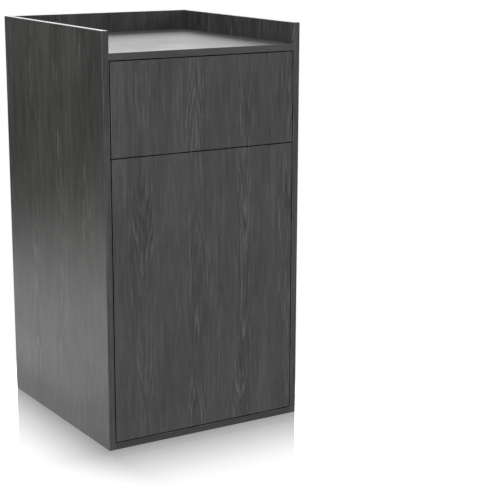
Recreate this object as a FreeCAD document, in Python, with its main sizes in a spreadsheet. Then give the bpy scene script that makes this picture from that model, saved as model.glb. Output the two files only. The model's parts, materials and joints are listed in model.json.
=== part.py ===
import FreeCAD, Part
import os
import Sketcher

Vector = FreeCAD.Vector
Rotation = FreeCAD.Rotation

# Driving dimensions in millimetres.
DIMENSIONS = {
    # boards of the carcass, the door and the flap
    "width": 590,
    "depth": 610,
    "height": 1100,
    "board": 18,
    "reveal": 3,
    "arris": 0.8,
    "rim_height": 56,
    "flap_height": 244,
    "seat_fit": 0.05,
    "bore_end": 0.5,
    # cam fittings, their bolts and the dowels beside them
    "cam_width": 15,
    "cam_depth": 13,
    "cam_set": 34,
    "cam_mouth": 7.2,
    "cam_roof": 5.4,
    "cam_heel": 3.6,
    "cross_arm": 7,
    "cross_slot": 1.6,
    "cross_depth": 1.5,
    "bolt_thread": 5,
    "bolt_grip": 11,
    "bolt_collar": 7.4,
    "bolt_collar_length": 3,
    "bolt_taper": 1,
    "bolt_neck": 4,
    "bolt_head": 6.6,
    "bolt_head_length": 5,
    "bolt_bore": 8,
    "dowel_width": 8,
    "dowel_length": 35,
    "dowel_seat": 11,
    "dowel_tip": 1,
    "dowel_step": 32,
    "cam_from_front": 140,
    "cam_from_back": 75,
    "back_cam_low": 105,
    "back_cam_drop": 169,
    "rear_dowel_set": 97,
    # flap pivots
    "pivot_drop": 15,
    "pivot_width": 6,
    "pivot_in_flap": 26,
    "pivot_in_bush": 10,
    "pivot_tip": 0.8,
    "bush_width": 10,
    "bush_depth": 12,
    "bush_flange": 14,
    "bush_flange_length": 2.2,
    # concealed hinges: where they sit, the cup and its flange
    "hinge_inset": 105,
    "cup_edge": 22.5,
    "cup_width": 35,
    "cup_depth": 12.8,
    "cup_floor": 0.8,
    "cup_well_length": 30.8,
    "cup_well_height": 11.6,
    "cup_slot_length": 28.4,
    "cup_slot_height": 16.8,
    "flange_thickness": 1.5,
    "flange_width": 37.6,
    "flange_ear": 13,
    "ear_corner": 6,
    "flange_screw_side": 6,
    "flange_screw_pitch": 48,
    # link pins, measured from the cup's centre and from the door's inner face
    "outer_arm_x": 10,
    "outer_arm_y": -6,
    "outer_cup_x": -5.3,
    "outer_cup_y": -9,
    "inner_arm_x": 12,
    "inner_arm_y": 0.2,
    "inner_cup_x": 0.13,
    "inner_cup_y": -6.45,
    "eye_shift_x": 0.54,
    "eye_shift_y": -0.24,
    "outer_pin": 2.4,
    "inner_pin": 2,
    "eye_slack": 0.75,
    "link_end": 2.5,
    "inner_link_eye": 3,
    # layers of the hinge, from its middle height outwards
    "inner_link_half": 3.4,
    "cheek_inside": 3.7,
    "cheek_outside": 5.4,
    "outer_link_inside": 5.7,
    "outer_link_outside": 7.9,
    "cup_pin_half": 10.4,
    "lug_half": 2.6,
    "lug_rise": 2.3,
    # hinge arm and mounting plate
    "arm_thickness": 5,
    "neck_x": 15.7,
    "neck_y": 18,
    "crank_x": 11,
    "crank_y": 28.5,
    "nose_slot_y": 4.5,
    "rail_height": 6,
    "rail_half": 5,
    "rail_front": 30,
    "rail_length": 42,
    "arm_screw_front": 10,
    "arm_screw_pitch": 22,
    "plate_thickness": 2.5,
    "plate_height": 48,
    "plate_width": 13,
    "plate_corner": 5,
    "plate_set": 37,
    "plate_screw_pitch": 32,
    # magnetic catch on the side panel and its strike plate on the door
    "catch_drop": 112,
    "catch_gap": 0.3,
    "catch_width": 14,
    "catch_height": 24,
    "catch_length": 16,
    "catch_ear_height": 40,
    "catch_ear_thickness": 2.5,
    "catch_ear_inset": 2,
    "catch_screw_pitch": 32,
    "catch_side_wall": 4.5,
    "magnet_width": 5.6,
    "magnet_height": 20,
    "magnet_length": 13.5,
    "pole_thickness": 1.2,
    "pole_proud": 0.4,
    "strike_thickness": 1.2,
    "strike_width": 19,
    "strike_height": 58,
    "strike_edge": 1.5,
    "strike_corner": 3,
    "strike_screw_pitch": 44,
    # screws: head width, head height, shank width, shank length
    "plate_screw_head": 8,
    "plate_screw_rise": 2.2,
    "plate_screw_shank": 5,
    "plate_screw_length": 13,
    "cup_screw_head": 7,
    "cup_screw_rise": 2,
    "cup_screw_shank": 3.6,
    "cup_screw_length": 12.5,
    "arm_screw_head": 7.4,
    "arm_screw_rise": 2.4,
    "arm_screw_shank": 4,
    "arm_screw_length": 9.5,
    "small_screw_head": 5.6,
    "small_screw_rise": 1.6,
    "small_screw_shank": 3,
    "small_screw_length": 11,
}

# Planes and points that several pieces share, worked out from the driving dimensions.
# The row starts at the middle of the base; a hinge has its own zero at the side panel's
# inner face, the cabinet's front and the hinge's middle height.
MARKS = {
    "inner": "dims.width / 2 - dims.board",
    "front": "-dims.depth / 2",
    "rear_face": "dims.depth / 2 - dims.board",
    "rear_middle": "dims.depth / 2 - dims.board / 2",
    "tray_face": "dims.height - dims.rim_height",
    "tray_under": "tray_face - dims.board",
    "tray_middle": "tray_face - dims.board / 2",
    "floor_middle": "dims.board / 2",
    "flap_top": "tray_under - dims.reveal",
    "flap_bottom": "flap_top - dims.flap_height",
    "door_top": "flap_bottom - dims.reveal",
    "door_bottom": "dims.board + dims.reveal",
    "door_half": "inner - dims.reveal",
    "door_inside": "front + dims.board",
    "pivot_y": "front + dims.board / 2",
    "pivot_z": "flap_top - dims.pivot_drop",
    "upper_hinge": "door_top - dims.hinge_inset",
    "lower_hinge": "door_bottom + dims.hinge_inset",
    "catch_z": "door_top - dims.catch_drop",
    "cam_x": "inner - dims.cam_set",
    "cam_front": "front + dims.cam_from_front",
    "cam_back": "rear_face - dims.cam_from_back",
    "dowel_front": "cam_front + dims.dowel_step",
    "dowel_back": "cam_back - dims.dowel_step",
    "back_cam_high": "tray_face - dims.back_cam_drop",
    "back_cam_middle": "(dims.back_cam_low + back_cam_high) / 2",
    "rear_dowel_x": "inner - dims.rear_dowel_set",
    "cup_x": "dims.reveal + dims.cup_edge",
    "cup_bottom": "dims.board - dims.cup_depth",
    "flange_face": "dims.board + dims.flange_thickness",
    "outer_arm_at_x": "cup_x + dims.outer_arm_x",
    "outer_arm_at_y": "dims.board + dims.outer_arm_y",
    "outer_cup_at_x": "cup_x + dims.outer_cup_x",
    "outer_cup_at_y": "dims.board + dims.outer_cup_y",
    "inner_arm_at_x": "cup_x + dims.inner_arm_x",
    "inner_arm_at_y": "dims.board + dims.inner_arm_y",
    "inner_cup_at_x": "cup_x + dims.inner_cup_x",
    "inner_cup_at_y": "dims.board + dims.inner_cup_y",
    "plate_y": "dims.board + dims.plate_set",
    "rail_start": "dims.board + dims.rail_front",
    "rail_end": "rail_start + dims.rail_length",
    "arm_middle": "dims.rail_height + dims.arm_thickness / 2",
    "arm_top": "dims.rail_height + dims.arm_thickness",
    "arm_screw_one": "rail_start + dims.arm_screw_front",
    "arm_screw_two": "arm_screw_one + dims.arm_screw_pitch",
    "catch_front": "dims.strike_thickness + dims.catch_gap + dims.pole_proud",
    "catch_ear_front": "catch_front + dims.catch_ear_inset",
    "catch_screw_y": "catch_front + dims.catch_length / 2",
    "pole_outer": "-dims.catch_side_wall",
    "magnet_outer": "pole_outer - dims.pole_thickness",
    "magnet_inner": "magnet_outer - dims.magnet_width",
    "pole_inner": "magnet_inner - dims.pole_thickness",
    "strike_outer": "door_half - dims.strike_edge",
    "strike_inner": "strike_outer - dims.strike_width",
    "strike_middle": "strike_outer - dims.strike_width / 2",
}

doc = FreeCAD.newDocument("trash_cabinet")


def fill_sheet(name, rows, prefix):
    sheet = doc.addObject("Spreadsheet::Sheet", name)
    for number, (alias, content) in enumerate(rows.items(), start=1):
        sheet.set(f"A{number}", alias)
        sheet.set(f"B{number}", f"{prefix}{content}")
        sheet.setAlias(f"B{number}", alias)
    doc.recompute()
    return sheet


dims = fill_sheet("dims", DIMENSIONS, "")
marks = fill_sheet("marks", MARKS, "=")


def value(expression):
    return float(dims.evalExpression(expression))


# Which way along its axis a sketch on each origin plane looks.
FACING = {"XY_Plane": 1, "XZ_Plane": -1, "YZ_Plane": 1}


def new_body(label):
    return doc.addObject("PartDesign::Body", label)


def sketch_on(body, plane, level):
    """Empty sketch on an origin plane of its body, moved along that plane's axis to a level."""
    support = next(part for part in body.Origin.OriginFeatures if part.Role == plane)
    sketch = body.newObject("Sketcher::SketchObject", f"{body.Label}_sketch")
    sketch.AttachmentSupport = [(support, "")]
    sketch.MapMode = "FlatFace"
    sketch.setExpression("AttachmentOffset.Base.z", f"{FACING[plane]} * ({level})")
    return sketch


def fix_point(sketch, geometry, vertex, place):
    """Tie a sketch point to its two expressions, measured from the sketch's zero."""
    for kind, expression in zip(("DistanceX", "DistanceY"), place):
        tie = Sketcher.Constraint(kind, -1, 1, geometry, vertex, value(expression))
        index = sketch.addConstraint(tie)
        sketch.setExpression(f"Constraints[{index}]", expression)


def polygon(sketch, places):
    """Closed outline of straight lines through the given places."""
    corners = [Vector(value(across), value(up), 0) for across, up in places]
    count = len(corners)
    lines = []
    for number in range(count):
        side = Part.LineSegment(corners[number - 1], corners[number])
        lines.append(sketch.addGeometry(side))
    for number, line in enumerate(lines):
        following = lines[(number + 1) % count]
        sketch.addConstraint(Sketcher.Constraint("Coincident", line, 2, following, 1))
        fix_point(sketch, line, 2, places[number])


def rectangle(sketch, across, up):
    left, right = across
    low, high = up
    polygon(sketch, [(left, low), (right, low), (right, high), (left, high)])


def circles(sketch, places, diameter):
    for place in places:
        centre = Vector(value(place[0]), value(place[1]), 0)
        ring = sketch.addGeometry(Part.Circle(centre, Vector(0, 0, 1), value(diameter) / 2))
        fix_point(sketch, ring, 3, place)
        index = sketch.addConstraint(Sketcher.Constraint("Diameter", ring, value(diameter)))
        sketch.setExpression(f"Constraints[{index}]", diameter)


def extrude(body, kind, sketch, plane, length, ahead):
    """Pad or pocket a sketch by a length, ahead along its plane's axis or back against it."""
    before = body.Shape.Volume if body.Tip else 0
    feature = body.newObject(f"PartDesign::{kind}", f"{body.Label}_{kind.lower()}")
    feature.Profile = sketch
    feature.setExpression("Length", length)
    looks_ahead = FACING[plane] > 0
    feature.Reversed = (ahead != looks_ahead) if kind == "Pad" else (ahead == looks_ahead)
    doc.recompute()
    gained = body.Shape.Volume - before
    if (gained > 0) != (kind == "Pad"):
        raise RuntimeError(f"{feature.Label} points away from {body.Label}")


def block(body, x, y, z):
    """Rectangular pad between three pairs of planes."""
    sketch = sketch_on(body, "XY_Plane", z[0])
    rectangle(sketch, x, y)
    extrude(body, "Pad", sketch, "XY_Plane", f"({z[1]}) - ({z[0]})", True)


def hollow(body, x, y, z):
    """Rectangular pocket between three pairs of planes."""
    sketch = sketch_on(body, "XY_Plane", z[0])
    rectangle(sketch, x, y)
    extrude(body, "Pocket", sketch, "XY_Plane", f"({z[1]}) - ({z[0]})", True)


def drill(body, plane, level, ahead, depth, diameter, places):
    """Round bores of one size from a level into the body."""
    sketch = sketch_on(body, plane, level)
    circles(sketch, places, diameter)
    extrude(body, "Pocket", sketch, plane, depth, ahead)


def round_edges(body, radius, picks=None):
    """Fillet all edges of a body, or those that a test picks."""
    base = body.Tip
    edges = base.Shape.Edges
    chosen = [number for number, edge in enumerate(edges, start=1) if picks is None or picks(edge)]
    fillet = body.newObject("PartDesign::Fillet", f"{body.Label}_fillet")
    fillet.Base = (base, [f"Edge{number}" for number in chosen])
    fillet.setExpression("Radius", radius)
    doc.recompute()


def turned(label, profile):
    """Piece turned about the X axis from corners given as a place along it and a radius."""
    body = new_body(label)
    sketch = sketch_on(body, "XY_Plane", "0")
    polygon(sketch, profile)
    turn = body.newObject("PartDesign::Revolution", f"{label}_turn")
    turn.Profile = sketch
    turn.ReferenceAxis = (sketch, ["H_Axis"])
    turn.Angle = 360
    doc.recompute()
    return body


def place_body(body, x, y, z):
    for axis, expression in zip("xyz", (x, y, z)):
        body.setExpression(f"Placement.Base.{axis}", expression)


def group(label, master, places):
    """Copies of one piece under one name, each a separate solid at its own place and turn."""
    copies = []
    for x, y, z, turn in places:
        copy = doc.addObject("App::Link", f"{label}_copy")
        copy.LinkedObject = master
        copy.Placement = FreeCAD.Placement(Vector(0, 0, 0), turn)
        place_body(copy, x, y, z)
        copies.append(copy)
    node = doc.addObject("Part::Compound", label)
    node.Links = copies
    return node


STRAIGHT = Rotation()
ABOUT_X = Rotation(Vector(1, 0, 0), 180)
ABOUT_Z = Rotation(Vector(0, 0, 1), 180)
TO_FRONT = Rotation(Vector(0, 0, 1), -90)
TO_BACK_FACE = Rotation(Vector(1, 0, 0), 90)

nodes = []

# Where the fittings lie along each joint: the two rows of floor and tray, the three of the back.
SHELF_CAMS = ["marks.cam_front", "marks.cam_back"]
SHELF_DOWELS = ["marks.dowel_front", "marks.dowel_back"]
SHELF_LEVELS = ["marks.floor_middle", "marks.tray_middle"]
BACK_CAMS = ["dims.back_cam_low", "marks.back_cam_middle", "marks.back_cam_high"]
BACK_DOWELS = [f"{level} + dims.dowel_step" for level in BACK_CAMS]
REAR_DOWELS = ["-marks.rear_dowel_x", "marks.rear_dowel_x"]
HINGES = {"upper": "marks.upper_hinge", "lower": "marks.lower_hinge"}


def easy(width):
    """Bore for a piece of this width with the seat fit all round."""
    return f"{width} + 2 * dims.seat_fit"


LEFT_FACE = "-marks.inner"
RIGHT_FACE = "marks.inner"
BOLT_BORE = easy("dims.bolt_thread")
DOWEL_BORE = easy("dims.dowel_width")
CAM_BORE = easy("dims.cam_width")
BUSH_BORE = easy("dims.bush_width")
PIVOT_BORE = easy("dims.pivot_width")
DOWEL_REACH = "dims.dowel_length - dims.dowel_seat + dims.bore_end"
DOWEL_DEPTH = "dims.dowel_seat + dims.bore_end"


def board_panel(label, x, y, z):
    """Melamine board with eased arrises."""
    body = new_body(label)
    block(body, x, y, z)
    round_edges(body, "dims.arris")
    nodes.append(body)
    return body


def pairs(firsts, seconds):
    return [(first, second) for second in seconds for first in firsts]


def side_panel(label, face, ahead, outer):
    """Side board, drilled on its inner face for bolts, dowels and the flap's bush."""
    x = (outer, face) if not ahead else (face, outer)
    body = board_panel(label, x, ("marks.front", "dims.depth / 2"), ("0", "dims.height"))
    bolts = pairs(SHELF_CAMS, SHELF_LEVELS) + pairs(["marks.rear_middle"], BACK_CAMS)
    dowels = pairs(SHELF_DOWELS, SHELF_LEVELS) + pairs(["marks.rear_middle"], BACK_DOWELS)
    drill(body, "YZ_Plane", face, ahead, "dims.bolt_grip + dims.bore_end", BOLT_BORE, bolts)
    drill(body, "YZ_Plane", face, ahead, DOWEL_DEPTH, DOWEL_BORE, dowels)
    bush = [("marks.pivot_y", "marks.pivot_z")]
    drill(body, "YZ_Plane", face, ahead, "dims.bush_depth + dims.bore_end", BUSH_BORE, bush)
    return body


def drill_ends(body, middles, cams, dowels, upright):
    """Bolt and dowel bores in both ends of a board that stands between the side panels."""
    for face, ahead in ((LEFT_FACE, True), (RIGHT_FACE, False)):
        bolt_places = [(middles, cam) if upright else (cam, middles) for cam in cams]
        dowel_places = [(middles, dowel) if upright else (dowel, middles) for dowel in dowels]
        drill(body, "YZ_Plane", face, ahead, "dims.cam_set", "dims.bolt_bore", bolt_places)
        drill(body, "YZ_Plane", face, ahead, DOWEL_REACH, DOWEL_BORE, dowel_places)


def shelf_panel(label, low, high, middle, cam_face, cam_ahead):
    """Level board between the sides: the floor, or the tray on top."""
    body = board_panel(label, (LEFT_FACE, RIGHT_FACE), ("marks.front", "marks.rear_face"), (low, high))
    drill_ends(body, middle, SHELF_CAMS, SHELF_DOWELS, False)
    rear = pairs(REAR_DOWELS, [middle])
    drill(body, "XZ_Plane", "marks.rear_face", False, DOWEL_REACH, DOWEL_BORE, rear)
    cams = pairs(["-marks.cam_x", "marks.cam_x"], SHELF_CAMS)
    drill(body, "XY_Plane", cam_face, cam_ahead, "dims.cam_depth + dims.seat_fit", CAM_BORE, cams)
    return body


# Carcass boards
left_side = side_panel("left_side_panel", LEFT_FACE, False, "-dims.width / 2")
plate_places = []
for hinge_level in HINGES.values():
    for side in ("-", "+"):
        screw_level = f"{hinge_level} {side} dims.plate_screw_pitch / 2"
        plate_places.append(("marks.front + marks.plate_y", screw_level))
drill(left_side, "YZ_Plane", LEFT_FACE, False, "dims.plate_screw_length",
      easy("dims.plate_screw_shank"), plate_places)

right_side = side_panel("right_side_panel", RIGHT_FACE, True, "dims.width / 2")
CATCH_SCREWS = [f"marks.catch_z {side} dims.catch_screw_pitch / 2" for side in ("-", "+")]
drill(right_side, "YZ_Plane", RIGHT_FACE, True, "dims.small_screw_length",
      easy("dims.small_screw_shank"), pairs(["marks.door_inside + marks.catch_screw_y"], CATCH_SCREWS))

back = board_panel("back_panel", (LEFT_FACE, RIGHT_FACE), ("marks.rear_face", "dims.depth / 2"),
                   ("0", "dims.height"))
drill_ends(back, "marks.rear_middle", BACK_CAMS, BACK_DOWELS, True)
drill(back, "XZ_Plane", "marks.rear_face", True, "dims.cam_depth + dims.seat_fit", CAM_BORE,
      pairs(["-marks.cam_x", "marks.cam_x"], BACK_CAMS))
drill(back, "XZ_Plane", "marks.rear_face", True, DOWEL_DEPTH, DOWEL_BORE,
      pairs(REAR_DOWELS, SHELF_LEVELS))

shelf_panel("floor_panel", "0", "dims.board", "marks.floor_middle", "dims.board", False)
shelf_panel("tray_top", "marks.tray_under", "marks.tray_face", "marks.tray_middle", "marks.tray_under", True)

# Cam disc: axis upright, face at zero, mouth towards plus X where the bolt comes in
cam = new_body("cam_disc")
cam_sketch = sketch_on(cam, "XY_Plane", "0")
circles(cam_sketch, [("0", "0")], "dims.cam_width")
extrude(cam, "Pad", cam_sketch, "XY_Plane", "dims.cam_depth", False)
hollow(cam, ("-dims.cam_heel", "dims.cam_width"), ("-dims.cam_mouth / 2", "dims.cam_mouth / 2"),
       ("-dims.cam_depth", "-dims.cam_roof"))


def cross_recess(body, plane, level, ahead, arm):
    """Cross-shaped driver recess centred on the body's axis."""
    half = "dims.cross_slot / 2"
    reach = f"{arm} / 2"
    outline = [
        (reach, f"-{half}"), (reach, half), (half, half),
        (half, reach), (f"-{half}", reach), (f"-{half}", half),
        (f"-{reach}", half), (f"-{reach}", f"-{half}"), (f"-{half}", f"-{half}"),
        (f"-{half}", f"-{reach}"), (half, f"-{reach}"), (half, f"-{half}"),
    ]
    sketch = sketch_on(body, plane, level)
    polygon(sketch, outline)
    extrude(body, "Pocket", sketch, plane, "dims.cross_depth", ahead)


cross_recess(cam, "XY_Plane", "0", False, "dims.cross_arm")

# Cam bolt: zero at the joint, thread into the side panel at minus X, head in the cam at plus X
bolt = turned("cam_bolt", [
    ("-dims.bolt_grip", "0"),
    ("-dims.bolt_grip", "dims.bolt_thread / 2"),
    ("0", "dims.bolt_thread / 2"),
    ("0", "dims.bolt_collar / 2"),
    ("dims.bolt_collar_length", "dims.bolt_collar / 2"),
    ("dims.bolt_collar_length", "dims.bolt_thread / 2"),
    ("dims.cam_set - dims.cam_width / 2 - dims.bolt_taper", "dims.bolt_thread / 2"),
    ("dims.cam_set - dims.cam_width / 2", "dims.bolt_neck / 2"),
    ("dims.cam_set - dims.bolt_head_length / 2", "dims.bolt_neck / 2"),
    ("dims.cam_set - dims.bolt_head_length / 2", "dims.bolt_head / 2"),
    ("dims.cam_set + dims.bolt_head_length / 2 - dims.bolt_taper", "dims.bolt_head / 2"),
    ("dims.cam_set + dims.bolt_head_length / 2", "dims.bolt_neck / 2"),
    ("dims.cam_set + dims.bolt_head_length / 2", "0"),
])

dowel = turned("wood_dowel", [
    ("-dims.dowel_seat", "0"),
    ("-dims.dowel_seat", "dims.dowel_width / 2 - dims.dowel_tip"),
    ("dims.dowel_tip - dims.dowel_seat", "dims.dowel_width / 2"),
    ("dims.dowel_length - dims.dowel_seat - dims.dowel_tip", "dims.dowel_width / 2"),
    ("dims.dowel_length - dims.dowel_seat", "dims.dowel_width / 2 - dims.dowel_tip"),
    ("dims.dowel_length - dims.dowel_seat", "0"),
])

# Sign of X, inner face, turn of a cam and turn of a bolt, for the left side and the right
SIDES = (
    ("-", LEFT_FACE, ABOUT_Z, STRAIGHT),
    ("", RIGHT_FACE, STRAIGHT, ABOUT_Z),
)
cam_places = []
bolt_places = []
dowel_places = []
for sign, face, cam_turn, bolt_turn in SIDES:
    cam_x = f"{sign}marks.cam_x"
    for row in SHELF_CAMS:
        cam_places.append((cam_x, row, "dims.board", cam_turn))
        cam_places.append((cam_x, row, "marks.tray_under", ABOUT_X * cam_turn))
    for level in BACK_CAMS:
        cam_places.append((cam_x, "marks.rear_face", level, TO_BACK_FACE * cam_turn))
        bolt_places.append((face, "marks.rear_middle", level, bolt_turn))
    for level in BACK_DOWELS:
        dowel_places.append((face, "marks.rear_middle", level, bolt_turn))
    for level in SHELF_LEVELS:
        bolt_places += [(face, row, level, bolt_turn) for row in SHELF_CAMS]
        dowel_places += [(face, row, level, bolt_turn) for row in SHELF_DOWELS]
for level in SHELF_LEVELS:
    dowel_places += [(x, "marks.rear_face", level, TO_FRONT) for x in REAR_DOWELS]
nodes.append(group("cam_discs", cam, cam_places))
nodes.append(group("cam_bolts", bolt, bolt_places))
nodes.append(group("wood_dowels", dowel, dowel_places))

# Door and flap
LEAF_WIDTH = ("-marks.door_half", "marks.door_half")
LEAF_DEPTH = ("marks.front", "marks.door_inside")
door = board_panel("door_panel", LEAF_WIDTH, LEAF_DEPTH, ("marks.door_bottom", "marks.door_top"))
CUP_CENTRE = "marks.cup_x - marks.inner"
CUP_SCREW = f"{CUP_CENTRE} + dims.flange_screw_side"
CUP_SCREW_LEVELS = []
for hinge_level in HINGES.values():
    CUP_SCREW_LEVELS += [f"{hinge_level} {side} dims.flange_screw_pitch / 2" for side in ("-", "+")]
drill(door, "XZ_Plane", "marks.door_inside", False, "dims.cup_depth + dims.seat_fit",
      easy("dims.cup_width"), pairs([CUP_CENTRE], HINGES.values()))
drill(door, "XZ_Plane", "marks.door_inside", False, "dims.cup_screw_length", easy("dims.cup_screw_shank"),
      pairs([CUP_SCREW], CUP_SCREW_LEVELS))
STRIKE_SCREWS = [f"marks.catch_z {side} dims.strike_screw_pitch / 2" for side in ("-", "+")]
drill(door, "XZ_Plane", "marks.door_inside", False, "dims.small_screw_length",
      easy("dims.small_screw_shank"), pairs(["marks.strike_middle"], STRIKE_SCREWS))

flap = board_panel("flap_panel", LEAF_WIDTH, LEAF_DEPTH, ("marks.flap_bottom", "marks.flap_top"))
for end, ahead in (("-marks.door_half", True), ("marks.door_half", False)):
    drill(flap, "YZ_Plane", end, ahead, "dims.pivot_in_flap + dims.bore_end", PIVOT_BORE,
          [("marks.pivot_y", "marks.pivot_z")])

# Flap pivots: zero at the side panel's inner face, pin into the flap at plus X, bush into the panel
pivot_pin = turned("flap_pivot_pin", [
    ("-dims.pivot_in_bush", "0"),
    ("-dims.pivot_in_bush", "dims.pivot_width / 2 - dims.pivot_tip"),
    ("dims.pivot_tip - dims.pivot_in_bush", "dims.pivot_width / 2"),
    ("dims.reveal + dims.pivot_in_flap - dims.pivot_tip", "dims.pivot_width / 2"),
    ("dims.reveal + dims.pivot_in_flap", "dims.pivot_width / 2 - dims.pivot_tip"),
    ("dims.reveal + dims.pivot_in_flap", "0"),
])
pivot_bush = turned("pivot_bush", [
    ("-dims.bush_depth", "0"),
    ("-dims.bush_depth", "dims.bush_width / 2"),
    ("0", "dims.bush_width / 2"),
    ("0", "dims.bush_flange / 2"),
    ("dims.bush_flange_length", "dims.bush_flange / 2"),
    ("dims.bush_flange_length", "0"),
])
drill(pivot_bush, "YZ_Plane", "dims.bush_flange_length", False,
      "dims.bush_flange_length + dims.pivot_in_bush + dims.bore_end", PIVOT_BORE, [("0", "0")])
PIVOTS = [(LEFT_FACE, "marks.pivot_y", "marks.pivot_z", STRAIGHT),
          (RIGHT_FACE, "marks.pivot_y", "marks.pivot_z", ABOUT_Z)]
nodes.append(group("flap_pivot_pins", pivot_pin, PIVOTS))
nodes.append(group("pivot_bushes", pivot_bush, PIVOTS))


# Screws: head towards minus X with its seat at zero, shank along plus X
def screw(label, size):
    body = turned(label, [
        (f"-dims.{size}_rise", "0"),
        (f"-dims.{size}_rise", f"dims.{size}_head / 3"),
        (f"-dims.{size}_rise / 2", f"dims.{size}_head / 2"),
        ("0", f"dims.{size}_head / 2"),
        ("0", f"dims.{size}_shank / 2"),
        (f"dims.{size}_length - dims.{size}_shank", f"dims.{size}_shank / 2"),
        (f"dims.{size}_length - dims.bore_end", "0"),
    ])
    cross_recess(body, "YZ_Plane", f"-dims.{size}_rise", True, f"dims.{size}_head / 2")
    return body


def hinge_places(x, y, levels, turn):
    """Places given in a hinge's own zero, as places in the cabinet."""
    return [(f"{x} - marks.inner", f"{y} + marks.front", level, turn) for level in levels]


# Hinge cup: drum let into the door, flange on its inner face, stepped well for the links
cup = new_body("hinge_cup")
drum = sketch_on(cup, "XZ_Plane", "dims.board")
circles(drum, [("marks.cup_x", "0")], "dims.cup_width")
extrude(cup, "Pad", drum, "XZ_Plane", "dims.cup_depth", False)
rim = sketch_on(cup, "XZ_Plane", "dims.board")
circles(rim, [("marks.cup_x", "0")], "dims.flange_width")
extrude(cup, "Pad", rim, "XZ_Plane", "dims.flange_thickness", True)
EAR_X = "marks.cup_x + dims.flange_screw_side"
EAR_LOW = f"{EAR_X} - dims.flange_ear / 2"
EAR_HIGH = f"{EAR_X} + dims.flange_ear / 2"
EAR_REACH = "dims.flange_screw_pitch / 2 + dims.flange_ear / 2"
block(cup, (EAR_LOW, EAR_HIGH), ("dims.board", "marks.flange_face"), (f"-({EAR_REACH})", EAR_REACH))
ear_limit = value(EAR_REACH)

# Lengths under this count as none, in millimetres.
NEAR = 0.01


def runs_along(edge, axis):
    """Whether a straight edge lies along the named axis."""
    return all(getattr(edge.BoundBox, f"{other}Length") < NEAR for other in "XYZ" if other != axis)


def is_ear_corner(edge):
    """Short edges through the flange at the far ends of its two ears."""
    return runs_along(edge, "Y") and abs(abs(edge.BoundBox.Center.z) - ear_limit) < NEAR


round_edges(cup, "dims.ear_corner", is_ear_corner)
CUP_WELL_FLOOR = "marks.cup_bottom + dims.cup_floor"
for step in ("dims.cup_slot", "dims.cup_well"):
    hollow(cup, (f"marks.cup_x - {step}_length / 2", f"marks.cup_x + {step}_length / 2"),
           (CUP_WELL_FLOOR, "marks.flange_face"), (f"-{step}_height / 2", f"{step}_height / 2"))
LUG_LOW = "marks.inner_cup_at_x - dims.lug_half"
LUG_HIGH = "marks.inner_cup_at_x + dims.lug_half"
LUG_TOP = "marks.inner_cup_at_y + dims.lug_rise"
LUG_LAYERS = (("dims.cheek_inside", "dims.cheek_outside"), ("-dims.cheek_outside", "-dims.cheek_inside"))
for low, high in LUG_LAYERS:
    lug = sketch_on(cup, "XY_Plane", low)
    polygon(lug, [
        (LUG_LOW, CUP_WELL_FLOOR),
        (LUG_HIGH, CUP_WELL_FLOOR),
        (LUG_HIGH, "marks.inner_cup_at_y"),
        ("marks.inner_cup_at_x + dims.lug_half / 2", LUG_TOP),
        ("marks.inner_cup_at_x - dims.lug_half / 2", LUG_TOP),
        (LUG_LOW, "marks.inner_cup_at_y"),
    ])
    extrude(cup, "Pad", lug, "XY_Plane", f"({high}) - ({low})", True)
CUP_PIN_REACH = "dims.cup_pin_half + dims.seat_fit"
drill(cup, "XY_Plane", f"-({CUP_PIN_REACH})", True, f"2 * ({CUP_PIN_REACH})", easy("dims.outer_pin"),
      [("marks.outer_cup_at_x", "marks.outer_cup_at_y")])
LUG_PIN_REACH = "dims.cheek_outside + dims.seat_fit"
drill(cup, "XY_Plane", f"-({LUG_PIN_REACH})", True, f"2 * ({LUG_PIN_REACH})", easy("dims.inner_pin"),
      [("marks.inner_cup_at_x", "marks.inner_cup_at_y")])
drill(cup, "XZ_Plane", "marks.flange_face", False, "dims.flange_thickness", easy("dims.cup_screw_shank"),
      [(EAR_X, "-dims.flange_screw_pitch / 2"), (EAR_X, "dims.flange_screw_pitch / 2")])

# Mounting plate: two wings screwed to the side panel and a rail that the arm lies on
plate = new_body("hinge_plate")
block(plate, ("0", "dims.plate_thickness"),
      ("marks.plate_y - dims.plate_width / 2", "marks.plate_y + dims.plate_width / 2"),
      ("-dims.plate_height / 2", "dims.plate_height / 2"))
round_edges(plate, "dims.plate_corner", lambda edge: runs_along(edge, "X"))
block(plate, ("0", "dims.rail_height"), ("marks.rail_start", "marks.rail_end"),
      ("-dims.rail_half", "dims.rail_half"))
drill(plate, "YZ_Plane", "dims.plate_thickness", False, "dims.plate_thickness",
      easy("dims.plate_screw_shank"),
      pairs(["marks.plate_y"], ["-dims.plate_screw_pitch / 2", "dims.plate_screw_pitch / 2"]))
ARM_SCREWS = ["marks.arm_screw_one", "marks.arm_screw_two"]
drill(plate, "YZ_Plane", "dims.rail_height", False, "dims.arm_screw_length - dims.arm_thickness",
      easy("dims.arm_screw_shank"), pairs(ARM_SCREWS, ["0"]))


def at(name):
    """Named hinge point in its plane."""
    return Vector(value(f"marks.{name}_x"), value(f"marks.{name}_y"), 0)


def straight_link(start, start_radius, end, end_radius, low, high):
    """Flat link with a round end at each pin and straight sides between them."""
    along = (end - start).normalize()
    aside = Vector(-along.y, along.x, 0)
    corners = [start + aside * start_radius, end + aside * end_radius,
               end - aside * end_radius, start - aside * start_radius]
    edges = [
        Part.LineSegment(corners[0], corners[1]),
        Part.Arc(corners[1], end + along * end_radius, corners[2]),
        Part.LineSegment(corners[2], corners[3]),
        Part.Arc(corners[3], start - along * start_radius, corners[0]),
    ]
    face = Part.Face(Part.Wire([edge.toShape() for edge in edges]))
    face.translate(Vector(0, 0, low))
    return face.extrude(Vector(0, 0, high - low))


def pin(centre, radius, half):
    return Part.makeCylinder(radius, 2 * half, centre - Vector(0, 0, half))


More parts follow.
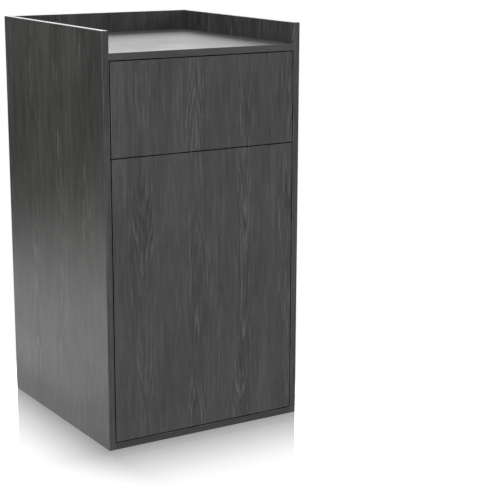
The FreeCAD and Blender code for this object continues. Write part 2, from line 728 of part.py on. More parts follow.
def shape_node(label, shape):
    node = doc.addObject("Part::Feature", label)
    node.Shape = shape
    return node


fit = value("dims.seat_fit")
outer_arm = at("outer_arm_at")
outer_cup = at("outer_cup_at")
inner_arm = at("inner_arm_at")
inner_cup = at("inner_cup_at")
outer_pin = value("dims.outer_pin") / 2
inner_pin = value("dims.inner_pin") / 2
link_end = value("dims.link_end")
link_inside = value("dims.outer_link_inside")
link_outside = value("dims.outer_link_outside")

# Outer link: two plates, one each side of the arm's nose, riveted on two pins
outer_bores = [pin(centre, outer_pin + fit, link_outside + fit) for centre in (outer_arm, outer_cup)]
outer_plates = []
for low, high in ((link_inside, link_outside), (-link_outside, -link_inside)):
    side_plate = straight_link(outer_arm, link_end, outer_cup, link_end, low, high)
    outer_plates.append(side_plate.cut(outer_bores))
outer_link = shape_node("outer_link", Part.makeCompound(outer_plates))
outer_pins = shape_node("outer_link_pin_pair", Part.makeCompound([
    pin(outer_arm, outer_pin, link_outside),
    pin(outer_cup, outer_pin, value("dims.cup_pin_half")),
]))

# Inner link: one plate between the cheeks, with a wide eye on the cup's pin
eye = inner_cup + Vector(value("dims.eye_shift_x"), value("dims.eye_shift_y"), 0)
eye_bore = inner_pin + value("dims.eye_slack")
inner_half = value("dims.inner_link_half")
inner_plate = straight_link(inner_arm, link_end, eye, value("dims.inner_link_eye"), -inner_half, inner_half)
inner_link = shape_node("inner_link", inner_plate.cut([
    pin(inner_arm, inner_pin + fit, inner_half + fit),
    pin(eye, eye_bore, inner_half + fit),
]))
cheek_outside = value("dims.cheek_outside")
arm_pin = shape_node("inner_arm_pin", pin(inner_arm, inner_pin, cheek_outside))
cup_pin = shape_node("inner_cup_pin", pin(inner_cup, inner_pin, cheek_outside))

# Hinge arm: cranked bar from the rail round the door's edge to a forked nose inside the cup
arm_middle = value("marks.arm_middle")
face_y = value("dims.board")
cup_x = value("marks.cup_x")
neck = Vector(cup_x + value("dims.neck_x"), face_y + value("dims.neck_y"), 0)
crank = Vector(cup_x + value("dims.crank_x"), face_y + value("dims.crank_y"), 0)
heel = Vector(arm_middle, value("marks.rail_start") + value("dims.arm_thickness") / 2, 0)
tail = Vector(arm_middle, value("marks.rail_end"), 0)
arm_line = Part.makePolygon([outer_arm, inner_arm, neck, crank, heel, tail])
arm_face = arm_line.makeOffset2D(value("dims.arm_thickness") / 2, 0, True, False, False)
arm_face.translate(Vector(0, 0, -cheek_outside))
arm_bar = arm_face.extrude(Vector(0, 0, 2 * cheek_outside))
slot_half = value("dims.cheek_inside")
slot_end = face_y + value("dims.nose_slot_y")
fork = Part.makeBox(2 * cup_x, slot_end, 2 * slot_half, Vector(cup_x, 0, -slot_half))
screw_bores = []
for level in ARM_SCREWS:
    start = Vector(0, value(level), 0)
    bore_radius = value(easy("dims.arm_screw_shank")) / 2
    screw_bores.append(Part.makeCylinder(bore_radius, 2 * cup_x, start, Vector(1, 0, 0)))
arm = shape_node("hinge_arm", arm_bar.cut([
    fork,
    pin(outer_arm, outer_pin + fit, cheek_outside + fit),
    pin(inner_arm, inner_pin + fit, cheek_outside + fit),
] + screw_bores))

# Both hinges, in place
for name, level in HINGES.items():
    for label, master in (("hinge_plate", plate), ("hinge_arm", arm), ("hinge_cup", cup),
                          ("outer_link", outer_link), ("outer_link_pins", outer_pins),
                          ("inner_link", inner_link)):
        nodes.append(group(f"{name}_{label}", master, hinge_places("0", "0", [level], STRAIGHT)))
nodes.append(group("inner_arm_pins", arm_pin, hinge_places("0", "0", HINGES.values(), STRAIGHT)))
nodes.append(group("inner_cup_pins", cup_pin, hinge_places("0", "0", HINGES.values(), STRAIGHT)))

# Hinge screws
plate_screw = screw("plate_screw", "plate_screw")
cup_screw = screw("cup_screw", "cup_screw")
arm_screw = screw("arm_screw", "arm_screw")
small_screw = screw("small_screw", "small_screw")
PLATE_SCREW_LEVELS = [place[1] for place in plate_places]
nodes.append(group("plate_screws", plate_screw,
                   hinge_places("dims.plate_thickness", "marks.plate_y", PLATE_SCREW_LEVELS, ABOUT_Z)))
nodes.append(group("cup_screws", cup_screw,
                   hinge_places(EAR_X, "marks.flange_face", CUP_SCREW_LEVELS, TO_FRONT)))
arm_screw_places = []
for row in ARM_SCREWS:
    arm_screw_places += hinge_places("marks.arm_top", row, HINGES.values(), ABOUT_Z)
nodes.append(group("arm_screws", arm_screw, arm_screw_places))

# Magnetic catch: zero at the side panel's inner face, the door's inner face and the catch's middle
case = new_body("catch_case")
block(case, ("-dims.catch_width", "0"), ("marks.catch_front", "marks.catch_front + dims.catch_length"),
      ("-dims.catch_height / 2", "dims.catch_height / 2"))
block(case, ("-dims.catch_ear_thickness", "0"),
      ("marks.catch_ear_front", "marks.catch_front + dims.catch_length"),
      ("-dims.catch_ear_height / 2", "dims.catch_ear_height / 2"))
hollow(case, ("marks.pole_inner - dims.seat_fit", "marks.pole_outer + dims.seat_fit"),
       ("marks.catch_front", "marks.catch_front + dims.magnet_length + dims.seat_fit"),
       ("-dims.magnet_height / 2 - dims.seat_fit", "dims.magnet_height / 2 + dims.seat_fit"))
drill(case, "YZ_Plane", "-dims.catch_ear_thickness", True, "dims.catch_ear_thickness",
      easy("dims.small_screw_shank"),
      pairs(["marks.catch_screw_y"], ["-dims.catch_screw_pitch / 2", "dims.catch_screw_pitch / 2"]))
magnet = new_body("catch_magnet")
block(magnet, ("marks.magnet_inner", "marks.magnet_outer"),
      ("marks.catch_front", "marks.catch_front + dims.magnet_length"),
      ("-dims.magnet_height / 2", "dims.magnet_height / 2"))
pole = new_body("pole_plate")
block(pole, ("-dims.pole_thickness", "0"),
      ("marks.catch_front - dims.pole_proud", "marks.catch_front + dims.magnet_length"),
      ("-dims.magnet_height / 2", "dims.magnet_height / 2"))
for piece in (case, magnet):
    place_body(piece, "marks.inner", "marks.door_inside", "marks.catch_z")
    nodes.append(piece)
nodes.append(group("catch_pole_plates", pole, [
    (f"marks.inner + {edge}", "marks.door_inside", "marks.catch_z", STRAIGHT)
    for edge in ("marks.pole_outer", "marks.magnet_inner")
]))
nodes.append(group("catch_screws", small_screw, [
    ("marks.inner - dims.catch_ear_thickness", "marks.door_inside + marks.catch_screw_y", level, STRAIGHT)
    for level in CATCH_SCREWS
]))

# Strike plate on the door's inner face
strike = new_body("strike_plate")
block(strike, ("marks.strike_inner", "marks.strike_outer"),
      ("marks.door_inside", "marks.door_inside + dims.strike_thickness"),
      ("marks.catch_z - dims.strike_height / 2", "marks.catch_z + dims.strike_height / 2"))
round_edges(strike, "dims.strike_corner", lambda edge: runs_along(edge, "Y"))
drill(strike, "XZ_Plane", "marks.door_inside + dims.strike_thickness", False, "dims.strike_thickness",
      easy("dims.small_screw_shank"), pairs(["marks.strike_middle"], STRIKE_SCREWS))
nodes.append(strike)
nodes.append(group("strike_screws", small_screw, [
    ("marks.strike_middle", "marks.door_inside + dims.strike_thickness", level, TO_FRONT)
    for level in STRIKE_SCREWS
]))

doc.recompute()
for item in doc.Objects:
    if "Invalid" in item.State or "Error" in item.State:
        raise RuntimeError(f"{item.Label} did not build: {item.State}")
os.makedirs("parts", exist_ok=True)
for node in nodes:
    if node.Shape.isNull() or not node.Shape.isValid():
        raise RuntimeError(f"{node.Label} has no sound shape")
for node in nodes:
    node.Shape.exportStep(f"parts/{node.Label}.step")
    print(node.Label, len(node.Shape.Solids), "solids", round(node.Shape.Volume), "mm3")
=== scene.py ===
import json
import math

import bpy
import numpy as np
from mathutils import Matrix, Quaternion, Vector


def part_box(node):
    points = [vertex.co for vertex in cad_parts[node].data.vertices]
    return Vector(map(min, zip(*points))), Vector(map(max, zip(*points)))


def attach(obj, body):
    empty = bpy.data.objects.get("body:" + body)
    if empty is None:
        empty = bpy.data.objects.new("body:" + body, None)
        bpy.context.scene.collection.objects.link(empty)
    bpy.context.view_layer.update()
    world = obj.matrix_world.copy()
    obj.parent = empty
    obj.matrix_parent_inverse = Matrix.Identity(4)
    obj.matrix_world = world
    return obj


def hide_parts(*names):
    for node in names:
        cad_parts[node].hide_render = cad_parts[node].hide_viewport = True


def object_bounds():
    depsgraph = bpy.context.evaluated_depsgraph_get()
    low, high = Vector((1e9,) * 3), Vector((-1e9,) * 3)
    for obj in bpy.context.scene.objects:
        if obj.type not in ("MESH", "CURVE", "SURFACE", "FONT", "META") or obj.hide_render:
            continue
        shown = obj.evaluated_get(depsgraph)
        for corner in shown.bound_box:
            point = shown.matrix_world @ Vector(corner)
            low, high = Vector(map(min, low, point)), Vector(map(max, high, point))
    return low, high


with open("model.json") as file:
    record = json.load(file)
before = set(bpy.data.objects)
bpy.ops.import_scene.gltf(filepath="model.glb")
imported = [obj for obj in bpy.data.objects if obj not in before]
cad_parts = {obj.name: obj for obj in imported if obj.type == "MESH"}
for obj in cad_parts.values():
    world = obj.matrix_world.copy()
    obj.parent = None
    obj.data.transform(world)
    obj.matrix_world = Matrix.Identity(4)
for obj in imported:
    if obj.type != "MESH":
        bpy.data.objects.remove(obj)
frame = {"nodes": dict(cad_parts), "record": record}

cadBox = [list(corner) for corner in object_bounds()]
nodes = frame["nodes"]
scene = bpy.context.scene
print("frame loaded:", len(nodes), "nodes")


# small helpers for shader trees
def newTree(name):
    material = bpy.data.materials.new(name)
    material.use_nodes = True
    tree = material.node_tree
    tree.nodes.clear()
    return material, tree


def put(tree, kind, **settings):
    node = tree.nodes.new("ShaderNode" + kind)
    for key, value in settings.items():
        setattr(node, key, value)
    return node


def feed(tree, socket, value):
    if isinstance(value, bpy.types.NodeSocket):
        tree.links.new(value, socket)
    else:
        socket.default_value = value


def calc(tree, operation, *values, clamp=False):
    node = put(tree, "Math", operation=operation, use_clamp=clamp)
    for socket, value in zip(node.inputs, values):
        feed(tree, socket, value)
    return node.outputs[0]


def times(tree, value, factor):
    return calc(tree, "MULTIPLY", value, factor)


def total(tree, *terms):
    whole = terms[0]
    for term in terms[1:]:
        whole = calc(tree, "ADD", whole, term)
    return whole


def joinXyz(tree, x, y, z):
    node = put(tree, "CombineXYZ")
    for socket, value in zip(node.inputs, (x, y, z)):
        feed(tree, socket, value)
    return node.outputs[0]


def splitXyz(tree, vector):
    node = put(tree, "SeparateXYZ")
    feed(tree, node.inputs[0], vector)
    return node.outputs


# noise on a place stretched by three scales, 0 to 1
def stretchedNoise(tree, place, scales, detail, roughness, shift=(0.0, 0.0, 0.0)):
    mapping = put(tree, "Mapping", vector_type="POINT")
    feed(tree, mapping.inputs["Vector"], place)
    mapping.inputs["Scale"].default_value = scales
    mapping.inputs["Location"].default_value = shift
    noise = put(tree, "TexNoise", noise_dimensions="3D")
    feed(tree, noise.inputs["Vector"], mapping.outputs[0])
    noise.inputs["Scale"].default_value = 1.0
    noise.inputs["Detail"].default_value = detail
    noise.inputs["Roughness"].default_value = roughness
    return noise.outputs["Fac"]


# one random number for each whole number
def chanceOf(tree, number):
    node = put(tree, "TexWhiteNoise", noise_dimensions="1D")
    feed(tree, node.inputs["W"], number)
    return node.outputs["Value"]


# value taken from one range to another, held at the ends
def remap(tree, value, fromLow, fromHigh, toLow, toHigh, smooth=False):
    node = put(tree, "MapRange", clamp=True)
    node.interpolation_type = "SMOOTHSTEP" if smooth else "LINEAR"
    for socket, item in zip(node.inputs, (value, fromLow, fromHigh, toLow, toHigh)):
        feed(tree, socket, item)
    return node.outputs[0]


def ramp(tree, value, stops):
    node = put(tree, "ValToRGB")
    feed(tree, node.inputs[0], value)
    elements = node.color_ramp.elements
    while len(elements) < len(stops):
        elements.new(0.5)
    for element, (place, colour) in zip(elements, stops):
        element.position = place
        element.color = (*colour, 1.0)
    return node.outputs[0]


def blendColour(tree, factor, first, second, mode="MIX"):
    node = put(tree, "Mix", data_type="RGBA", blend_type=mode)
    feed(tree, node.inputs["Factor"], factor)
    feed(tree, node.inputs[6], first)
    feed(tree, node.inputs[7], second)
    return node.outputs[2]


def blendShader(tree, factor, first, second):
    node = put(tree, "MixShader")
    feed(tree, node.inputs[0], factor)
    tree.links.new(first, node.inputs[1])
    tree.links.new(second, node.inputs[2])
    return node.outputs[0]


def bumped(tree, height, strength, distance):
    node = put(tree, "Bump")
    feed(tree, node.inputs["Height"], height)
    node.inputs["Strength"].default_value = strength
    node.inputs["Distance"].default_value = distance
    return node.outputs[0]


def surfaceOf(tree, **inputs):
    shader = put(tree, "BsdfPrincipled")
    for key, value in inputs.items():
        feed(tree, shader.inputs[key.replace("_", " ")], value)
    output = put(tree, "OutputMaterial")
    tree.links.new(shader.outputs[0], output.inputs[0])


# charcoal woodgrain board, one look for all seven boards; lengths in metres
boardLook = {
    "dark": (0.0110, 0.0110, 0.0109),
    "middle": (0.0370, 0.0369, 0.0365),
    "light": (0.1030, 0.1025, 0.1010),
    "tones": (0.05, 0.42, 0.98),   # where these three lie
    "columnHalf": 0.0775,          # half the spacing of the columns of figure
    "columnStep": (3.71, 1.93),    # takes each column to noise of its own
    "lineAcross": 0.0130,          # spacing of the growth lines across the grain
    "crowd": 1.15,                 # how much they crowd together away from the heart
    "linesClimb": 9.0,             # growth lines passed in a metre along the grain
    "tip": 0.0060,                 # roundness of the arches
    "peak": 0.68,                  # where a line is lightest between one and the next
    "lineFall": 1.2,
    "lineMean": 0.38,
    "lineStep": 17.3,              # keeps the strengths of one column's lines from the next
    "seedStep": (1.37, 0.71, 2.13),
    "noiseRough": 0.55,
    "wearAndGlint": (3.0, 0.6),            # detail and roughness of the noise for rubbed edges, with their painted highlight, and for handled places
    "square": 0.7,                 # how squarely a face looks along an axis
    "rough": (0.27, 0.41),
    "roughFrom": (0.3, 0.7),       # the noise that gives these two
    "roughMean": 0.25,
    "poreRough": 0.08,
    "rubAndGlintScale": (26.0, 26.0, 26.0),
    "handlingScale": (5.0, 5.0, 5.0),
    # painted highlight on the arris, together with its rubbed wear: its tone and its share
    "arrisHighlightTone": (0.165, 0.164, 0.160, 1.0),
    "arrisHighlightShare": 0.60,
    "bandThick": 0.0020,           # edge banding, its seam shows on the wide faces
    "seamTone": (0.006, 0.006, 0.006, 1.0),
    "ior": 1.56,
    "bump": 0.20,
    "bumpDepth": 0.00025,
}
# noise: scales across, through and along the grain, detail, reach and a shift of its own
boardNoise = {
    "lean": ((2.4, 2.4, 0.8), 2.0, 0.11, 0.0),
    "waver": ((16.0, 16.0, 4.5), 2.0, 0.011, 1.7),
    "drift": ((1.0, 1.0, 1.35), 3.0, 8.0, 5.3),
    "wobble": ((36.0, 36.0, 7.0), 3.0, 1.15, 3.1),
    "cloud": ((9.0, 9.0, 2.6), 3.0, 1.0, 2.9),
    "streak": ((55.0, 55.0, 2.6), 3.0, 1.0, 0.4),
    "stroke": ((170.0, 170.0, 15.0), 2.0, 1.0, 4.6),
    "fibre": ((340.0, 340.0, 9.0), 3.0, 1.0, 0.0),
    "fine": ((1100.0, 1100.0, 22.0), 2.0, 1.0, 0.9),
    "pore": ((1500.0, 1500.0, 42.0), 1.0, 1.0, 7.2),
    "comes": ((1.0, 1.0, 3.2), 2.0, 1.0, 8.8),
    "dash": ((230.0, 230.0, 13.0), 2.0, 1.0, 6.1),
}
# ranges: from low to high, to low and high
boardRange = {
    "strength": (0.0, 1.0, 0.35, 1.30),
    "pore": (0.10, 0.22, 0.0, 1.0),
    "nearHeart": (0.012, 0.044, 1.0, 0.10),
    "comes": (-0.16, 0.12, 0.20, 1.0),
    "broken": (-0.14, 0.14, 0.35, 1.0),
    "early": (0.15, 0.60, 1.0, 0.0),
    "dash": (0.0, 0.16, 0.0, 1.0),
    "lively": (0.0, 0.8, 0.70, 1.70),
    "arris": (0.0002, 0.0012, 1.0, 0.0),
    "rubAndGlint": (0.35, 0.75, 0.35, 1.0),
    "seam": (0.00004, 0.00022, 0.75, 0.0),
}
# shares of each layer in the tone, the roughness and the relief
toneShare = {"lines": 0.42, "streak": 0.32, "cloud": 0.40, "stroke": 0.56, "fibre": 0.58,
             "fine": 0.30, "pore": -0.18, "dash": -0.34}
roughShare = {"fibre": 0.5, "handling": 0.5}
reliefShare = {"fibre": 0.45, "lines": 0.20, "fine": 0.35, "pore": 0.5}
axisIndex = {"x": 0, "y": 1, "z": 2}


# nested arches: growth lines at whole numbers of climb + (sqrt(p^2 + tip^2) / lineAcross)^crowd, with p the
# distance across the grain to the nearest heart line, and climb a steady rate up or down each column plus
# a slow drift along it
def boardMaterial(node, along, across, seed, heart=0.0, paintedLightTint=(1.0, 1.0, 1.0), duller=0.0, bolder=1.0,
                  edgeToneAndGapShade=0.86, smoother=1.0):
    look = boardLook
    material, tree = newTree("charcoalBoard_" + node)
    through = next(axis for axis in "xyz" if axis not in (along, across))
    coords = put(tree, "TexCoord")
    place = splitXyz(tree, coords.outputs["Object"])
    normal = splitXyz(tree, coords.outputs["Normal"])
    axes = {axis: place[axisIndex[axis]] for axis in "xyz"}

    def looksAlong(axis):
        return calc(tree, "GREATER_THAN", calc(tree, "ABSOLUTE", normal[axisIndex[axis]]), look["square"])

    # on the ends of the board the banding's grain runs along the edge
    face = joinXyz(tree, axes[across], axes[through], axes[along])
    band = joinXyz(tree, axes[through], axes[along], axes[across])
    isEnd = looksAlong(along)
    chosen = put(tree, "Mix", data_type="VECTOR")
    feed(tree, chosen.inputs["Factor"], isEnd)
    feed(tree, chosen.inputs[4], face)
    feed(tree, chosen.inputs[5], band)
    spot = chosen.outputs[1]
    parts = splitXyz(tree, spot)
    u, v = parts[0], parts[2]

    def noise(layer, where=spot):
        scales, detail, reach, extra = boardNoise[layer]
        shift = tuple(seed * step + extra for step in look["seedStep"])
        raw = stretchedNoise(tree, where, scales, detail, look["noiseRough"], shift)
        return times(tree, calc(tree, "SUBTRACT", raw, 0.5), reach)

    def ranged(value, name, smooth=True):
        return remap(tree, value, *boardRange[name], smooth)

    # columns of figure, each with its own climb
    figure = total(tree, u, noise("lean"), noise("waver"), -heart)
    fromHeart = calc(tree, "PINGPONG", figure, look["columnHalf"])
    column = calc(tree, "FLOOR", calc(tree, "MULTIPLY_ADD", figure, 0.5 / look["columnHalf"], 0.5))
    onColumn = joinXyz(tree, *(times(tree, column, step) for step in look["columnStep"]), v)
    upwards = calc(tree, "GREATER_THAN", chanceOf(tree, total(tree, column, seed)), 0.5)
    rate = remap(tree, upwards, 0.0, 1.0, -look["linesClimb"], look["linesClimb"])
    climb = total(tree, times(tree, rate, v), noise("drift", onColumn))
    tipped = calc(tree, "SQRT", total(tree, times(tree, fromHeart, fromHeart), look["tip"] ** 2))
    flank = calc(tree, "POWER", times(tree, tipped, 1.0 / look["lineAcross"]), look["crowd"])
    phase = total(tree, climb, flank, noise("wobble"))

    # a line brightens slowly and ends sharply, and each has its own strength
    within = calc(tree, "FRACT", phase)
    rise = calc(tree, "MINIMUM", times(tree, within, 1.0 / look["peak"]),
                times(tree, calc(tree, "SUBTRACT", 1.0, within), 1.0 / (1.0 - look["peak"])))
    chance = chanceOf(tree, total(tree, calc(tree, "FLOOR", phase), times(tree, column, look["lineStep"])))
    strength = ranged(chance, "strength", False)
    lines = calc(tree, "SUBTRACT", times(tree, calc(tree, "POWER", rise, look["lineFall"]), strength),
                 look["lineMean"])

    # bands, strokes, fibres and pores along the grain
    cloud, streak, stroke = noise("cloud"), noise("streak"), noise("stroke")
    fibre, fine = noise("fibre"), noise("fine")
    pore = ranged(noise("pore"), "pore")

    # the figure is clear near its heart and dies out between columns, and comes and goes along them
    onEdge = looksAlong(across)
    presence = times(tree, ranged(fromHeart, "nearHeart"), ranged(noise("comes", onColumn), "comes"))
    presence = times(tree, presence, ranged(stroke, "broken"))
    presence = times(tree, presence, calc(tree, "SUBTRACT", 1.0, onEdge))
    linesHere = times(tree, lines, presence)
    dashes = times(tree, ranged(noise("dash"), "dash"), ranged(rise, "early"))
    dashes = times(tree, dashes, presence)
    strokes = total(tree, times(tree, stroke, toneShare["stroke"]), times(tree, fibre, toneShare["fibre"]))
    strokes = times(tree, strokes, ranged(presence, "lively", False))
    figured = total(tree, times(tree, linesHere, toneShare["lines"]),
                    times(tree, streak, toneShare["streak"]), times(tree, cloud, toneShare["cloud"]),
                    strokes, times(tree, fine, toneShare["fine"]),
                    times(tree, pore, toneShare["pore"]), times(tree, dashes, toneShare["dash"]))
    tone = calc(tree, "MULTIPLY_ADD", figured, bolder, look["tones"][1], clamp=True)
    colour = ramp(tree, tone, tuple(zip(look["tones"], (look["dark"], look["middle"], look["light"]))))
    # painted light and shade: each board's tint lightens or darkens its faces to stand in for how light
    # falls on it
    onBand = calc(tree, "MAXIMUM", onEdge, isEnd)
    # the edge tone is the banding's own tone, lowered on the door, flap and floor panel as painted shade
    # that deepens the gaps
    shade = blendColour(tree, onBand, (*paintedLightTint, 1.0), (edgeToneAndGapShade, edgeToneAndGapShade, edgeToneAndGapShade, 1.0))
    colour = blendColour(tree, 1.0, colour, shade, "MULTIPLY")

    # arris: second smallest distance to the faces of the board's box; near it the colour is lightened
    # towards a pale tone, a painted highlight together with rubbed wear
    low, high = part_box(node)
    gaps = []
    for axis, i in axisIndex.items():
        off = calc(tree, "ABSOLUTE", calc(tree, "SUBTRACT", axes[axis], (low[i] + high[i]) / 2))
        gaps.append(calc(tree, "SUBTRACT", (high[i] - low[i]) / 2, off))
    nearTwo = calc(tree, "MINIMUM", gaps[0], gaps[1])
    farTwo = calc(tree, "MAXIMUM", gaps[0], gaps[1])
    second = calc(tree, "MAXIMUM", nearTwo, calc(tree, "MINIMUM", farTwo, gaps[2]))
    rubAndGlint = stretchedNoise(tree, coords.outputs["Object"], look["rubAndGlintScale"], *look["wearAndGlint"])
    wornAndHighlit = times(tree, ranged(second, "arris"), ranged(rubAndGlint, "rubAndGlint"))
    # painted highlight and rubbed wear: the arris is lightened towards the highlight tone
    colour = blendColour(tree, times(tree, wornAndHighlit, look["arrisHighlightShare"]), colour, look["arrisHighlightTone"])
    offSeam = calc(tree, "ABSOLUTE", calc(tree, "SUBTRACT", second, look["bandThick"]))
    seam = times(tree, ranged(offSeam, "seam"), looksAlong(through))
    colour = blendColour(tree, seam, colour, look["seamTone"])

    # satin surface: handling marks, fibre relief and open pores
    handling = stretchedNoise(tree, coords.outputs["Object"], look["handlingScale"], *look["wearAndGlint"])
    rough = total(tree, times(tree, fibre, roughShare["fibre"] * smoother),
                  times(tree, handling, roughShare["handling"]), look["roughMean"])
    rough = remap(tree, rough, *look["roughFrom"], *(level + duller for level in look["rough"]))
    rough = total(tree, rough, times(tree, pore, look["poreRough"]))
    relief = total(tree, times(tree, fibre, reliefShare["fibre"]),
                   times(tree, linesHere, reliefShare["lines"]), times(tree, fine, reliefShare["fine"]))
    relief = calc(tree, "SUBTRACT", relief, times(tree, pore, reliefShare["pore"]))
    surfaceOf(tree, Base_Color=colour, Roughness=rough, IOR=look["ior"],
              Normal=bumped(tree, relief, look["bump"] * smoother, look["bumpDepth"]))
    return material


# the tints are painted light and shade, one board lightened or darkened against another
boards = {
    "left_side_panel": dict(along="z", across="y", seed=3.1, heart=-0.026, paintedLightTint=(0.93, 0.90, 0.845),
                            bolder=1.55, edgeToneAndGapShade=0.74),
    "right_side_panel": dict(along="z", across="y", seed=7.7, paintedLightTint=(1.03, 1.02, 1.00), bolder=1.45),
    "back_panel": dict(along="z", across="x", seed=11.3, paintedLightTint=(0.80, 0.79, 0.775), bolder=1.55),
    # the low edge tones of the floor panel, door and flap are painted shade for the gaps around them
    "floor_panel": dict(along="x", across="y", seed=5.9, edgeToneAndGapShade=0.45),
    "tray_top": dict(along="x", across="y", seed=9.2, duller=0.10, smoother=0.35),
    "door_panel": dict(along="z", across="x", seed=1.4, heart=-0.038, edgeToneAndGapShade=0.28),
    "flap_panel": dict(along="z", across="x", seed=1.4, heart=-0.038, paintedLightTint=(0.94, 0.94, 0.94),
                       edgeToneAndGapShade=0.28),
}
for name, settings in boards.items():
    mesh = nodes[name].data
    mesh.materials.clear()
    mesh.materials.append(boardMaterial(name, **settings))
print("boards finished:", len(boards))

# small parts: relief depth in metres, noise roughness and the noise that roughness follows
fineRelief = 0.0001
fineRough = 0.6
toneRange = (0.3, 0.7)

# plated and cast metal: two tones, roughness in each, share of metal, noise scales and relief
metalLook = {
    "zincCam": dict(low=(0.62, 0.62, 0.605), high=(0.76, 0.76, 0.745), rough=(0.52, 0.36),
                    metal=0.60, grain=(900, 900, 900), bump=0.16),
    "platedSteel": dict(low=(0.60, 0.595, 0.58), high=(0.76, 0.755, 0.74), rough=(0.44, 0.30),
                        metal=0.85, grain=(300, 300, 1600), bump=0.08),
    "hingeNickel": dict(low=(0.66, 0.645, 0.605), high=(0.80, 0.785, 0.74), rough=(0.48, 0.32),
                        metal=0.75, grain=(260, 1800, 1800), bump=0.08),
}
metalPatch = (120, 120, 120)
metalShare = (0.6, 0.4)
metalTones = (0.32, 0.66)


def metalMaterial(name):
    look = metalLook[name]
    material, tree = newTree(name)
    place = put(tree, "TexCoord").outputs["Object"]
    patch = stretchedNoise(tree, place, metalPatch, 3.0, fineRough)
    lines = stretchedNoise(tree, place, look["grain"], 3.0, fineRough)
    mixed = total(tree, times(tree, patch, metalShare[0]), times(tree, lines, metalShare[1]))
    colour = ramp(tree, mixed, tuple(zip(metalTones, (look["low"], look["high"]))))
    surfaceOf(tree, Base_Color=colour, Metallic=look["metal"],
              Roughness=remap(tree, mixed, *toneRange, *look["rough"]),
              Normal=bumped(tree, lines, look["bump"], fineRelief))
    return material


# moulded, painted and turned parts: two tones, roughness in each, noise scales and relief
plainLook = {
    "creamPlastic": dict(low=(0.66, 0.61, 0.47), high=(0.78, 0.735, 0.60), rough=(0.52, 0.38),
                         scale=(160, 160, 160), bump=0.10),
    "creamEnamel": dict(low=(0.70, 0.66, 0.53), high=(0.80, 0.765, 0.645), rough=(0.36, 0.22),
                        scale=(90, 90, 60), bump=0.06),
    "darkNylon": dict(low=(0.016, 0.016, 0.017), high=(0.030, 0.030, 0.031), rough=(0.55, 0.40),
                      scale=(240, 240, 240), bump=0.10),
    "darkMagnet": dict(low=(0.030, 0.030, 0.032), high=(0.060, 0.060, 0.062), rough=(0.65, 0.45),
                       scale=(420, 420, 420), bump=0.18),
    "beechDowel": dict(low=(0.40, 0.25, 0.13), high=(0.58, 0.40, 0.24), rough=(0.70, 0.55),
                       scale=(60, 900, 900), bump=0.20),
}
plainFiner = 9
plainShare = (0.7, 0.3)
plainTones = (0.34, 0.64)
plainIor = 1.5


def plainMaterial(name):
    look = plainLook[name]
    material, tree = newTree(name)
    place = put(tree, "TexCoord").outputs["Object"]
    patch = stretchedNoise(tree, place, look["scale"], 3.0, fineRough)
    grain = stretchedNoise(tree, place, tuple(plainFiner * s for s in look["scale"]), 2.0, fineRough)
    mixed = total(tree, times(tree, patch, plainShare[0]), times(tree, grain, plainShare[1]))
    colour = ramp(tree, mixed, tuple(zip(plainTones, (look["low"], look["high"]))))
    surfaceOf(tree, Base_Color=colour, Roughness=remap(tree, mixed, *toneRange, *look["rough"]),
              IOR=plainIor, Normal=bumped(tree, grain, look["bump"], fineRelief))
    return material


slotFinish = {
    "zinc_cam": metalMaterial("zincCam"),
    "plated_steel": metalMaterial("platedSteel"),
    "hinge_nickel": metalMaterial("hingeNickel"),
    "cream_plastic": plainMaterial("creamPlastic"),
    "cream_enamel": plainMaterial("creamEnamel"),
    "dark_nylon": plainMaterial("darkNylon"),
    "dark_magnet": plainMaterial("darkMagnet"),
    "beech_dowel": plainMaterial("beechDowel"),
}
slotOf = {entry["node"]: entry["material_slot"] for entry in frame["record"]["subparts"]}
for name, item in nodes.items():
    if name in boards:
        continue
    item.data.materials.clear()
    item.data.materials.append(slotFinish[slotOf[name]])
print("small parts finished:", len(nodes) - len(boards))

# screws, in millimetres: head width and height, thread width and pitch, length under the head,
# the way the head looks and the middle of each seat
screws = {
    "plate_screws": dict(body="carcass", head=8.0, rise=2.2, thread=5.0, pitch=1.9, length=12.5,
                         looks=(1, 0, 0),
                         seats=[(-274.5, -250.0, z) for z in (655.0, 687.0, 110.0, 142.0)]),
    "arm_screws": dict(body="carcass", head=7.4, rise=2.4, thread=4.0, pitch=0.9, length=9.0,
                       looks=(1, 0, 0),
                       seats=[(-266.0, y, z) for y in (-247.0, -225.0) for z in (671.0, 126.0)]),
    "cup_screws": dict(body="door", head=7.0, rise=2.0, thread=3.6, pitch=1.6, length=12.0,
                       looks=(0, 1, 0),
                       seats=[(-245.5, -285.5, z) for z in (647.0, 695.0, 102.0, 150.0)]),
    "catch_screws": dict(body="carcass", head=5.6, rise=1.6, thread=3.0, pitch=1.4, length=10.5,
                         looks=(-1, 0, 0), seats=[(274.5, -277.1, z) for z in (648.0, 680.0)]),
    "strike_screws": dict(body="door", head=5.6, rise=1.6, thread=3.0, pitch=1.4, length=10.5,
                          looks=(0, 1, 0), seats=[(263.0, -285.8, z) for z in (642.0, 686.0)]),
}
millimetre = 0.001
screwGrid = {"round": 60, "top": 26, "shank": 66, "tip": 10}
